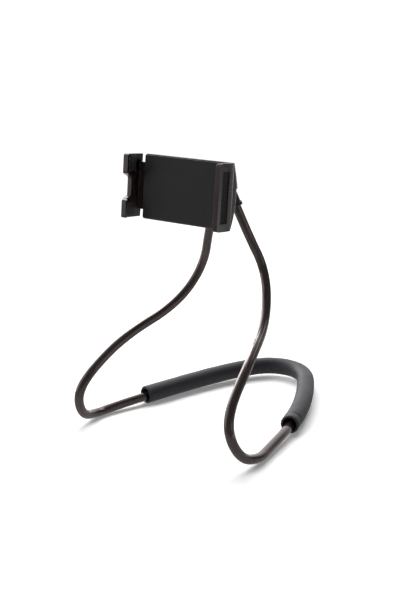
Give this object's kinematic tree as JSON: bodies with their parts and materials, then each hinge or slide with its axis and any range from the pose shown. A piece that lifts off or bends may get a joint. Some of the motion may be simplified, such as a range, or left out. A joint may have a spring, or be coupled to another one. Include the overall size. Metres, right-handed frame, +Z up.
{
  "type": "neck phone holder",
  "caption": "Hands-free phone holder worn round the neck: a bendable rod with a foam collar sleeve and a sprung phone clip on a ball joint, bent here into a desk stand.",
  "frame": {"origin": "middle of the footprint on the table, under the holder as it stands in the picture", "axes": "+X to the fixed jaw's side, +Y back to the closed end of the collar, +Z up"},
  "size_m": [0.1532, 0.2005, 0.2051],
  "materials": {
    "rod_coat": "smooth glossy dark coat",
    "foam_sleeve": "fine closed-cell foam, matt",
    "clip_plastic": "moulded black, glossy",
    "soft_rubber": "soft, matt",
    "grip_plastic": "moulded black, satin",
    "steel": "zinc plated",
    "liner_nylon": "natural nylon"
  },
  "bodies": {
    "neck_frame": {"gooseneck_rod": "rod_coat", "neck_sleeve": "foam_sleeve", "joiner_front": "clip_plastic", "joiner_back": "clip_plastic", "joiner_screws": "steel", "rod_ferrule_right": "grip_plastic", "rod_ferrule_left": "grip_plastic", "ball_stud": "steel"},
    "pan_liner": {"ball_liner": "liner_nylon"},
    "tilt_ring": {"lock_ring": "grip_plastic"},
    "clip": {"front_shell": "clip_plastic", "front_pad": "soft_rubber", "fixed_jaw_pad": "soft_rubber", "rear_cover": "clip_plastic", "cover_screws": "steel", "return_spring": "steel"},
    "jaw": {"sliding_jaw": "clip_plastic", "lug_pad_upper": "soft_rubber", "lug_pad_lower": "soft_rubber"}
  },
  "joints": [
    {"name": "clip_pan", "type": "hinge", "parent": "neck_frame", "child": "pan_liner", "pos_m": [0, -0.0355, 0.179], "axis": [0, -0.1942, 0.981], "range_deg": [-18, 18]},
    {"name": "clip_tilt", "type": "hinge", "parent": "pan_liner", "child": "tilt_ring", "pos_m": [0, -0.0355, 0.179], "axis": [1, 0, 0], "range_deg": [-8, 26]},
    {"name": "clip_swivel", "type": "hinge", "parent": "tilt_ring", "child": "clip", "pos_m": [0, -0.0355, 0.179], "axis": [0, 0.9969, -0.0785], "continuous": true},
    {"name": "jaw_slide", "type": "slide", "parent": "clip", "child": "jaw", "axis": [-0.9998, 0.0015, 0.0191], "range_m": [0, 0.02], "stiffness_N_per_m": 150, "springref_m": -0.02, "deforming": ["return_spring"]}
  ]
}
